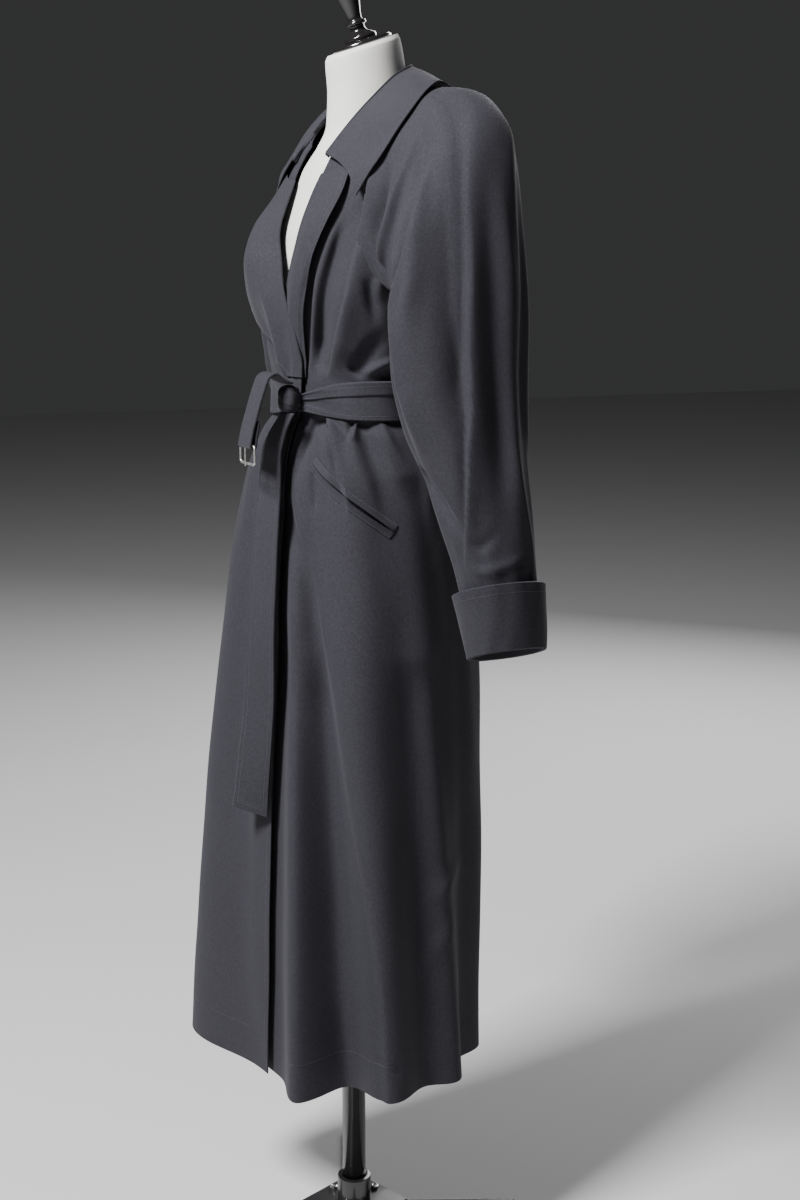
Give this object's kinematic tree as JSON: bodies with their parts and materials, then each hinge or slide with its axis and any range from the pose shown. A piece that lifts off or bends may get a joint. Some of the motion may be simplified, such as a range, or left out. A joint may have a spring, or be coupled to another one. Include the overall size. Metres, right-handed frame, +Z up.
{
  "type": "trench coat on a dress form",
  "caption": "Belted wrap trench coat in dark twill on a limbless dress form with a cross-foot stand",
  "frame": {"origin": "On the floor under the pole's axis, in the plane that the cross foot stands on", "axes": "+Z up; the coat's front faces -Y; the wearer's left is +X; metres"},
  "size_m": [0.6532, 0.437, 1.6884],
  "materials": {
    "coat_cloth": "matte wool twill",
    "form_cloth": "smooth jersey cover",
    "buckle_metal": "satin metal wire",
    "lacquer": "black lacquer",
    "stand_metal": "glossy black paint",
    "bolt_metal": "polished"
  },
  "bodies": {
    "root": {"front_left": "coat_cloth", "front_right": "coat_cloth", "back": "coat_cloth", "sleeve_left": "coat_cloth", "sleeve_right": "coat_cloth", "cuff_left": "coat_cloth", "cuff_right": "coat_cloth", "lapel_left": "coat_cloth", "lapel_right": "coat_cloth", "collar": "coat_cloth", "pocket_left_upper": "coat_cloth", "pocket_left_lower": "coat_cloth", "pocket_right_upper": "coat_cloth", "pocket_right_lower": "coat_cloth", "belt_waist": "coat_cloth", "belt_knot": "coat_cloth", "belt_short": "coat_cloth", "belt_tail": "coat_cloth", "form_torso": "form_cloth", "neck_cap": "lacquer", "finial": "lacquer", "pole": "stand_metal", "pole_socket": "stand_metal", "base_flange": "stand_metal", "base_cross": "stand_metal", "base_bolt_1": "bolt_metal", "base_bolt_2": "bolt_metal", "base_bolt_3": "bolt_metal", "base_bolt_4": "bolt_metal"},
    "buckle": {"buckle_frame": "buckle_metal"},
    "prong": {"buckle_prong": "buckle_metal"}
  },
  "joints": [
    {"name": "buckle_swing", "type": "hinge", "parent": "root", "child": "buckle", "pos_m": [0.0514, -0.15795, 1.11026], "axis": [0.9994, 0.0349, 0], "range_deg": [-50, 60]},
    {"name": "prong_turn", "type": "hinge", "parent": "buckle", "child": "prong", "pos_m": [0.0514, -0.15795, 1.11026], "axis": [0.9994, 0.0349, 0], "range_deg": [-65, 0]}
  ]
}
